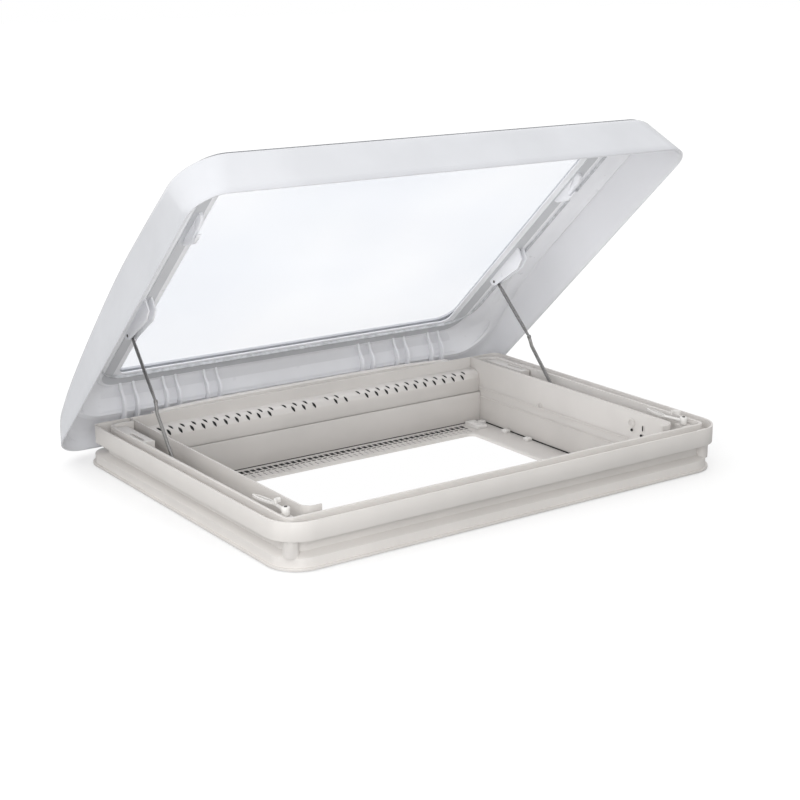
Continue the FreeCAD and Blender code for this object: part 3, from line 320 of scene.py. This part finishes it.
def plan_point(index, half, front, rear, radius):
    """One point of a rounded rectangle: the same index lies at the same share of every such outline."""
    per_corner = SIDE_STEPS + CORNER_STEPS
    corner, k = divmod(index, per_corner)
    centres = [(half - radius, -front + radius), (half - radius, rear - radius),
               (-half + radius, rear - radius), (-half + radius, -front + radius)]
    x, y = centres[corner]
    start = math.radians(-90 + 90 * corner)
    if k <= CORNER_STEPS:
        angle = start + math.radians(90) * k / CORNER_STEPS
        return x + radius * math.cos(angle), y + radius * math.sin(angle)
    share = (k - CORNER_STEPS) / SIDE_STEPS
    end = start + math.radians(90)
    nx, ny = centres[(corner + 1) % 4]
    from_point = (x + radius * math.cos(end), y + radius * math.sin(end))
    to_point = (nx + radius * math.cos(end), ny + radius * math.sin(end))
    return tuple(a + (b - a) * share for a, b in zip(from_point, to_point))


PLAN_COUNT = 4 * (SIDE_STEPS + CORNER_STEPS)


# ------------------------------------------------------------------ dome

HINGE = next(joint for joint in frame["joints"] if joint["name"] == "dome_hinge")
HINGE_Y, HINGE_Z = (HINGE["pos_m"][k] / MM for k in (1, 2))
OPEN_ANGLE = math.radians(HINGE["range_deg"][0])


def opened(point):
    """A point of the closed dome, turned about the hinge to where it is at rest."""
    x, y, z = point
    y, z = y - HINGE_Y, z - HINGE_Z
    c, d = math.cos(OPEN_ANGLE), math.sin(OPEN_ANGLE)
    return x, HINGE_Y + y * c - z * d, HINGE_Z + y * d + z * c


# dome in its closed place: rim height, half width, front, rear, draft, shoulder, corners, wall
RIM = 15.4
DOME_HALF, DOME_FRONT, DOME_REAR = 436, 330.4, 363.6
DRAFT, SHOULDER = 14, 88
RIM_CORNER, UPPER_CORNER = 48, 78
DOME_WALL, FILLET = 3.2, 13
# height of the dome's margin above its rim, at distances back from its front edge
MARGIN = [
    (-20, 72), (60, 76), (190, 82), (300, 84.3), (445, 75), (576, 59.5), (651, 41), (688, 26), (714, 13),
]
# crown above the margin: half width, front, rear, corner radius, height above the rim
CROWN = [(405, 310, 321, 50, 60), (378, 284, 304, 44, 82), (352, 262, 288, 38, 90), (340, 250, 276, 34, 90)]


def margin_height(y):
    """Height of the dome's margin above the rim, along a smooth line through its points."""
    reach = y + DOME_FRONT
    last = len(MARGIN) - 2
    k = max(0, min(last, sum(1 for far, _ in MARGIN if far <= reach) - 1))
    (a, low), (b, high) = MARGIN[k], MARGIN[k + 1]
    before = MARGIN[max(k - 1, 0)]
    after = MARGIN[min(k + 2, last + 1)]
    slope_in = (high - before[1]) / (b - before[0])
    slope_out = (after[1] - low) / (after[0] - a)
    t, span = (reach - a) / (b - a), b - a
    return ((2 * t ** 3 - 3 * t ** 2 + 1) * low + (t ** 3 - 2 * t ** 2 + t) * span * slope_in
            + (3 * t ** 2 - 2 * t ** 3) * high + (t ** 3 - t ** 2) * span * slope_out)


def skirt_plan(index, height, inset):
    """Plan place of the skirt at a height above the rim."""
    share = height / SHOULDER
    drawn = inset + DRAFT * share
    radius = RIM_CORNER + (UPPER_CORNER - RIM_CORNER) * share
    return plan_point(index, DOME_HALF - drawn, DOME_FRONT - drawn, DOME_REAR - drawn, radius - inset)


def smooth_top(a, b, blend=4.0):
    """The higher of two heights, with a soft valley where they cross."""
    return 0.5 * (a + b + math.hypot(a - b, blend))


def inside_depth(x, y, outline):
    """How far a plan point lies inside a rounded rectangle; negative outside it."""
    half, front, rear, radius = outline[:4]
    across = abs(x) - (half - radius)
    along = abs(y - (rear - front) / 2) - ((rear + front) / 2 - radius)
    return radius - math.hypot(max(across, 0), max(along, 0)) - min(max(across, along), 0)


def ceiling(x, y):
    """Height of the dome's outer face over a plan point, above the rim."""
    crown = 0
    for outer, inner in zip(CROWN, CROWN[1:]):
        within, beyond = inside_depth(x, y, outer), -inside_depth(x, y, inner)
        if within >= 0:
            share = min(1.0, within / max(within + beyond, 0.001)) if beyond > 0 else 1.0
            crown = outer[4] + (inner[4] - outer[4]) * share
    return max(margin_height(y), crown)


def dome_skin(inset):
    """Rows of points over the dome from its rim to its window, drawn in by an inset."""
    fillet = FILLET - inset
    skirt_steps, fillet_steps = 6, 6
    count = range(PLAN_COUNT)
    top = [margin_height(skirt_plan(k, 60, inset)[1]) - inset for k in count]
    rows = []
    for step in range(skirt_steps):
        share = step / skirt_steps
        heights = [1.0 + (level - fillet - 1.0) * share for level in top]
        rows.append([(*skirt_plan(k, heights[k], inset), RIM + heights[k]) for k in count])
    for step in range(fillet_steps + 1):
        angle = math.radians(90) * step / fillet_steps
        draw, rise = fillet * (1 - math.cos(angle)), fillet * math.sin(angle)
        row = []
        for k in count:
            base = top[k] - fillet
            x, y = skirt_plan(k, base + rise * 0.4, inset + draw)
            level = margin_height(y) - inset
            row.append((x, y, RIM + level - fillet + rise))
        rows.append(row)
    edge = rows[-1]
    foot = [plan_point(k, CROWN[0][0] + 3 - inset, CROWN[0][1] + 3 - inset, CROWN[0][2] + 3 - inset,
                       CROWN[0][3] + 3 - inset) for k in count]
    rows.append([((edge[k][0] + foot[k][0]) / 2, (edge[k][1] + foot[k][1]) / 2) for k in count])
    rows[-1] = [(x, y, RIM + margin_height(y) - inset) for x, y in rows[-1]]
    rows.append([(x, y, RIM + margin_height(y) - inset) for x, y in foot])
    for start, end, steps in ((CROWN[0], CROWN[1], 7), (CROWN[1], CROWN[2], 4), (CROWN[2], CROWN[3], 1)):
        for step in range(steps):
            share = step / steps
            half, front, rear, radius, height = (a + (b - a) * share for a, b in zip(start, end))
            plan = [plan_point(k, half - inset, front - inset, rear - inset, radius - inset) for k in count]
            rows.append([(x, y, RIM + smooth_top(height, margin_height(y)) - 0.02 - inset) for x, y in plan])
    half, front, rear, radius, height = CROWN[-1]
    rows.append([(*plan_point(k, half, front, rear, radius), RIM + height - inset) for k in count])
    return rows


def make_dome_shell():
    """Thin moulded dome: skirt, rounded shoulder, margin, crown and window edge, inside and out."""
    outside = dome_skin(0)
    inside = dome_skin(DOME_WALL)
    lip = [[(*skirt_plan(k, 0, inset), RIM) for k in range(PLAN_COUNT)] for inset in (DOME_WALL - 0.8, 0.8)]
    rows = lip[1:] + outside + inside[::-1] + lip[:1]
    rows = [[opened(point) for point in row] for row in rows]
    shell = loft("dome_skin", rows, "dome", "dome_plastic", instead_of=("dome_shell",), sharp=50)
    # inside faces take the lightened copy of the dome plastic: painted light
    shell.data.materials.append(DOME_INSIDE_LIGHTENED)
    first_inner = (len(outside) + 1) * PLAN_COUNT
    for polygon in shell.data.polygons:
        if polygon.index >= first_inner:
            polygon.material_index = 1


# rings of the inner frame and of its grey strip of painted shade: half width, front, rear, corner radius, height
FRAME_UNDERSIDE = [
    (327, 230, 270, 14, 94.4), (327, 230, 270, 14, 92.8), (328, 231, 271, 15, 92.2),
    (336, 239, 279, 18, 92.0), (337, 240, 280, 18, 91.0), (357, 260, 296, 33, 88.6),
    (358.5, 261.5, 297, 34, 87.6), (361, 264, 299, 35, 87.4), (363, 266, 301, 36, 88.2),
    (364.5, 268, 302, 37, 90.2), (380, 282, 307, 46, 89.6), (404, 300, 315, 58, 87.4),
    (414, 308, 322, 62, 86.2), (417, 311, 325, 64, 84.6), (419, 313, 327, 65, 84.2),
    (420.5, 314.4, 328.4, 66, 84.8),
]
FRAME_TOPSIDE = [
    (420.5, 314.4, 328.4, 66, 87.4), (404, 300, 318, 58, 89.9), (364.5, 268, 304, 37, 92.6),
    (336, 239, 279, 18, 94.6),
]
STEP_SHADE_RINGS = [
    (337.6, 240.6, 280.6, 18.6, 90.7), (356.4, 259.4, 295.4, 32.4, 88.4),
    (356.4, 259.4, 295.4, 32.4, 88.0), (337.6, 240.6, 280.6, 18.6, 90.3),
]


def make_dome_frame():
    """Inner frame round the pane: stepped edge under a grey strip of painted shade, light bead and a flange out to
    the skirt.
    """
    rows = []
    for ring in FRAME_UNDERSIDE + FRAME_TOPSIDE:
        spare = 0.4 if ring in FRAME_TOPSIDE else 3.0
        plan = [plan_point(k, *ring[:4]) for k in range(PLAN_COUNT)]
        rows.append([(x, y, min(ring[4], RIM + ceiling(x, y) - DOME_WALL - spare)) for x, y in plan])
    rows = [[opened(point) for point in row] for row in rows]
    # the frame's plastic is lightened as painted light
    loft("dome_frame", rows, "dome", "dome_inner_plastic", instead_of=("dome_inner_frame",), sharp=40)
    rows = [[opened((*plan_point(k, *ring[:4]), ring[4])) for k in range(PLAN_COUNT)]
            for ring in STEP_SHADE_RINGS]
    loft("frame_step_shade", rows, "dome", "dome_inner_plastic", material=STEP_PAINTED_SHADE)


make_dome_shell()
make_dome_frame()


# ------------------------------------------------------------------ vents, grille and lining


def curved_sheet(profile, half, thickness):
    """A thin sheet bent along a profile of (y, z) points, running along X."""
    rows = []
    for y, z in profile:
        rows += [(-half, y, z), (half, y, z), (half, y + thickness, z), (-half, y + thickness, z)]
    faces = grid_faces(len(profile), 4, wrap_rows=False)
    faces.append((0, 1, 2, 3))
    last = 4 * (len(profile) - 1)
    faces.append((last, last + 1, last + 2, last + 3))
    return rows, faces


def make_vent_shadow_sheet():
    """Near-black sheet close behind the vent holes: painted shade that darkens the holes."""
    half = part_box("vent_strip")[1].x / MM - 4
    front, shoulder, radius = 252.7, 54, 15.3
    centre_y, centre_z = front + radius, shoulder - 1.2 - radius
    inner = radius - 0.6
    angles = [84 - 9 * k for k in range(10)]
    profile = [(centre_y - inner * math.cos(math.radians(a)), centre_z + inner * math.sin(math.radians(a)))
               for a in angles]
    points, faces = curved_sheet(profile, half, 0.8)
    # painted shade behind the vent holes
    add_piece("vent_shadow_sheet", points, faces, "base", "rubber_seal", material=PAINTED_SHADOW_BLACK)


def make_grille_shade():
    """Near-black plate under the grille's cells: painted shade that darkens the cells."""
    low, high = (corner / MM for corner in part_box("air_grille"))
    points, faces = prism([(low.x + 2, low.y + 2), (high.x - 2, low.y + 2), (high.x - 2, high.y - 1),
                           (low.x + 2, high.y - 1)], high.z - 1.7, high.z - 0.7)
    add_piece("grille_shade", points, faces, "base", "rubber_seal", material=PAINTED_SHADOW_BLACK)


def make_tray_gap_shadow():
    """Near-black strip in the gap between the lining and the blind tray: painted shadow along the gap."""
    half, front, rear = 335.6, 235.1, 250.4
    low, high, thickness = -39.0, -37.4, 1.6
    rows = []
    for drawn, height in ((0, low), (0, high), (thickness, high), (thickness, low)):
        rows.append([(*plan_point(k, half - drawn, front - drawn, rear - drawn, 12), height)
                     for k in range(PLAN_COUNT)])
    loft("tray_gap_shadow", rows, "base", "rubber_seal", material=PAINTED_SHADOW_BLACK)


def make_lining_details(name, side):
    """Ribs, boss ring, circle, holes and slot on the lining's side wall; the holes and slot are near-black discs
    of painted shade.
    """
    wall = side * 333.3
    shapes = []
    for height, front in ((23.3, -148), (7, -113)):
        shapes.append(tube_shape([(wall, 250, height), (wall, front, height)], 0.9))
    for y, z, radius in ((83, 26.6, 5), (-144, 51, 6)):
        ring = oval(y, z, radius, radius, 24)
        shapes.append(tube_shape([(wall, u, v) for u, v in ring + ring[:1]], 0.8, 6))
    points, faces = join_shapes(shapes)
    add_piece("lining_relief_" + name, points, faces, "base", "lining_plastic")
    # holes and slot as near-black discs of painted shade
    shapes = []
    low, high = sorted((side * 332.6, side * 333.6))
    for y, z, half_y, half_z in ((-146, 40, 2.4, 2.4), (-168, 35.3, 2.6, 2.6), (-170.6, 48.2, 0.9, 4.6)):
        shapes.append(prism(oval(y, z, half_y, half_z), low, high, axis=0))
    points, faces = join_shapes(shapes)
    add_piece("lining_hole_shadows_" + name, points, faces, "base", "rubber_seal", material=PAINTED_SHADOW_BLACK)


def make_rear_rail():
    """Rail along the back, its top edge a shallow bow."""
    low, high = (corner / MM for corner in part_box("rear_rail"))
    count = 33
    rows = []
    for k in range(count):
        share = -1 + 2 * k / (count - 1)
        x = high.x * share
        top = high.z - 5.5 * share ** 4
        rows.append([(x, low.y + 0.2, low.z + 8), (x, low.y + 0.2, top - 1.2), (x, low.y + 1.4, top),
                     (x, high.y - 1.4, top), (x, high.y, top - 1.2), (x, high.y, low.z + 8)])
    points = [point for row in rows for point in row]
    faces = grid_faces(count, 6, wrap_rows=False)
    faces += [tuple(range(6)), tuple(range((count - 1) * 6, count * 6))]
    add_piece("rear_rail_bowed", points, faces, "base", "frame_plastic", instead_of=("rear_rail",))


SIDES = {"left": -1, "right": 1}

make_vent_shadow_sheet()
make_grille_shade()
make_tray_gap_shadow()
make_rear_rail()
for side_name, side_sign in SIDES.items():
    make_lining_details(side_name, side_sign)


# ------------------------------------------------------------------ latches


def make_latch_handle(name, side):
    """Loop handle on the latch: hub, neck and a long oval ring."""
    hub, ring_middle, ring_turn = (side * 363, -230), (side * 361.5, -171), -side * math.radians(8)
    shapes = [prism(oval(*hub, 5.9, 5.9, 24), 64.5, 76.3, ease=0.7)]
    neck = [(hub[0], -226, 70), (side * 361, -214, 70), (side * 359, -194, 69.5)]
    shapes.append(tube_shape(neck, 2.6, 12))
    outer = oval(*ring_middle, 4.6, 24, 40, ring_turn)
    inner = oval(*ring_middle, 2.6, 21, 40, ring_turn)
    rows = [[(x, y, height) for x, y in outline]
            for outline, height in ((outer, 68.0), (outer, 71.4), (inner, 71.6), (inner, 68.2))]
    shapes.append(([p for row in rows for p in row], grid_faces(4, 40)))
    points, faces = join_shapes(shapes)
    add_piece("latch_handle_" + name, points, faces, "latch_" + name, "white_plastic",
              instead_of=("latch_lever_" + name,), sharp=50)


# ------------------------------------------------------------------ stays


# eye, knee and foot of the right stay with the dome open
EYE, KNEE, FOOT = (352.8, 228.3, 217.1), (358.8, 144.5, 132.8), (365.5, 48.9, 15.0)


def between(start, end, share):
    """A point part of the way along a line."""
    return tuple(a + (b - a) * share for a, b in zip(start, end))


def make_stay(name, side):
    """Two slim rods from the eye to the knee, then one flat channel arm down to the shoe."""
    eye, knee, foot = ((side * x, y, z) for x, y, z in (EYE, KNEE, FOOT))
    apart = Vector((0, knee[2] - eye[2], eye[1] - knee[1])).normalized() * 2.3
    shapes = []
    for sign in (-1, 1):
        path = []
        for k in range(13):
            share = k / 12
            spread_here = sign * min(1.0, 5 * min(share, 1 - share) + 0.25)
            path.append(tuple(Vector(between(eye, knee, share)) + apart * spread_here))
        shapes.append(tube_shape(path, 1.5, 10))
    for middle, radius in ((eye, 4.4), (knee, 3.6)):
        shapes.append(prism(oval(middle[1], middle[2], radius, radius, 24),
                            *sorted((middle[0] - 2.0, middle[0] + 2.0)), axis=0, ease=0.4))
    points, faces = join_shapes(shapes)
    add_piece("stay_rods_" + name, points, faces, "stay_" + name, "zinc_steel",
              instead_of=("upper_stay_" + name,), sharp=50)
    bend = (knee[0] + side * 1.5, knee[1] - 6, knee[2] - 16)
    path = [knee, bend] + [between(bend, foot, k / 8) for k in range(1, 9)]
    shapes = [tube_shape([tuple(Vector(p) + offset) for p in path], 1.9, 12, flat=1.0)
              for offset in (apart * 0.75, apart * -0.75)]
    web = [tuple(Vector(p) + Vector((side * 0.8, 0, 0))) for p in path]
    shapes.append(tube_shape(web, 0.9, 10, flat=2.2))
    shapes.append(prism(oval(foot[1], foot[2], 4.6, 4.6, 24), *sorted((foot[0] - 2.4, foot[0] + 2.4)),
                        axis=0, ease=0.4))
    points, faces = join_shapes(shapes)
    add_piece("stay_channel_" + name, points, faces, "stay_" + name, "zinc_steel",
              instead_of=("lower_stay_" + name,), sharp=50)


for side_name, side_sign in SIDES.items():
    make_latch_handle(side_name, side_sign)
    make_stay(side_name, side_sign)


# ------------------------------------------------------------------ stage, light and camera


def plane_with_hole(name, reach, half_width, half_depth, height, material):
    """A level floor with a rectangular hole in the middle."""
    xs = (-reach, -half_width, half_width, reach)
    ys = (-reach, -half_depth, half_depth, reach)
    points = [(x, y, height) for y in ys for x in xs]
    faces = []
    for row in range(3):
        for column in range(3):
            if row == 1 and column == 1:
                continue
            corner = row * 4 + column
            faces.append((corner, corner + 1, corner + 5, corner + 4))
    mesh = bpy.data.meshes.new(name)
    mesh.from_pydata(points, [], faces)
    floor = bpy.data.objects.new(name, mesh)
    bpy.context.scene.collection.objects.link(floor)
    mesh.materials.append(material)
    return floor


def pale_floor(name):
    """Plain pale studio floor, bright enough to fade into the backdrop."""
    material, tree, shader = new_material(name)
    tone = noise(tree, 2, 2)
    tree.links.new(ramp(tree, tone, (0.46, 0.46, 0.46), (0.48, 0.48, 0.48)), shader.inputs["Base Color"])
    shader.inputs["Roughness"].default_value = 0.9
    shader.inputs["Emission Color"].default_value = (1, 1, 1, 1)
    path = tree.nodes.new("ShaderNodeLightPath")
    glow = tree.nodes.new("ShaderNodeMath")
    glow.operation = "MULTIPLY"
    glow.inputs[1].default_value = 0.5
    tree.links.new(path.outputs["Is Camera Ray"], glow.inputs[0])
    tree.links.new(glow.outputs["Value"], shader.inputs["Emission Strength"])
    return material


FLOOR_REACH, HOLE_HALF_WIDTH, HOLE_HALF_DEPTH = 14.0, 0.345, 0.252
plane_with_hole("floor", FLOOR_REACH, HOLE_HALF_WIDTH, HOLE_HALF_DEPTH, 0.0, pale_floor("floor_white"))

# the side of the sky that is brightest, and the light's strength there and opposite
SKY_AXIS = (-0.60, 0.28, 0.75)
SKY_LOW, SKY_HIGH = 0.22, 1.42


def studio_world():
    """Soft light from all round, stronger from the upper left, before a plain white backdrop."""
    world = bpy.data.worlds.new("studio")
    world.use_nodes = True
    tree = world.node_tree
    sky = tree.nodes["Background"]
    sky.inputs["Color"].default_value = (1, 1, 1, 1)
    place = tree.nodes.new("ShaderNodeTexCoord")
    along = tree.nodes.new("ShaderNodeVectorMath")
    along.operation = "DOT_PRODUCT"
    along.inputs[1].default_value = SKY_AXIS
    tree.links.new(place.outputs["Generated"], along.inputs[0])
    level = tree.nodes.new("ShaderNodeMapRange")
    level.inputs["From Min"].default_value = -1
    level.inputs["From Max"].default_value = 1
    level.inputs["To Min"].default_value = SKY_LOW
    level.inputs["To Max"].default_value = SKY_HIGH
    tree.links.new(along.outputs["Value"], level.inputs["Value"])
    tree.links.new(level.outputs["Result"], sky.inputs["Strength"])
    seen = tree.nodes.new("ShaderNodeBackground")
    seen.inputs["Color"].default_value = (1, 1, 1, 1)
    path = tree.nodes.new("ShaderNodeLightPath")
    choice = tree.nodes.new("ShaderNodeMixShader")
    tree.links.new(path.outputs["Is Camera Ray"], choice.inputs["Fac"])
    tree.links.new(sky.outputs["Background"], choice.inputs[1])
    tree.links.new(seen.outputs["Background"], choice.inputs[2])
    tree.links.new(choice.outputs["Shader"], tree.nodes["World Output"].inputs["Surface"])
    bpy.context.scene.world = world


studio_world()


def softbox(name, place, target, size, power):
    """A square area light aimed at a point."""
    light = bpy.data.lights.new(name, "AREA")
    light.size = size
    light.energy = power
    lamp = bpy.data.objects.new(name, light)
    lamp.location = place
    aim = Vector(target) - Vector(place)
    lamp.rotation_mode = "QUATERNION"
    lamp.rotation_quaternion = aim.to_track_quat("-Z", "Y")
    lamp.visible_camera = False
    bpy.context.scene.collection.objects.link(lamp)
    return lamp


frame_low, frame_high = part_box("outer_frame")
frame_middle = (frame_low + frame_high) / 2
softbox("key", (-0.85, -1.0, 0.4), frame_middle, 0.5, 4.2)
softbox("top", (0.3, 0.4, 3.2), frame_middle, 2.5, 5)
softbox("below", (0.0, -0.1, -0.8), frame_middle + Vector((0, 0.1, 0.2)), 0.9, 5)

AZIMUTH = math.radians(-35.36)
ELEVATION = math.radians(16.22)
DISTANCE = 2.539
target = Vector((7.06, 22.98, 78.49)) * MM
back = Vector((math.sin(AZIMUTH) * math.cos(ELEVATION),
               -math.cos(AZIMUTH) * math.cos(ELEVATION),
               math.sin(ELEVATION)))
camera_data = bpy.data.cameras.new("camera")
camera_data.sensor_width = 36
camera_data.lens = 73.2
camera_data.shift_x = -0.0049
camera_data.shift_y = 0.0196
camera = bpy.data.objects.new("camera", camera_data)
camera.location = target + back * DISTANCE
camera.rotation_mode = "QUATERNION"
camera.rotation_quaternion = (-back).to_track_quat("-Z", "Y")
bpy.context.scene.collection.objects.link(camera)
bpy.context.scene.camera = camera
bpy.context.scene.view_settings.view_transform = "Standard"
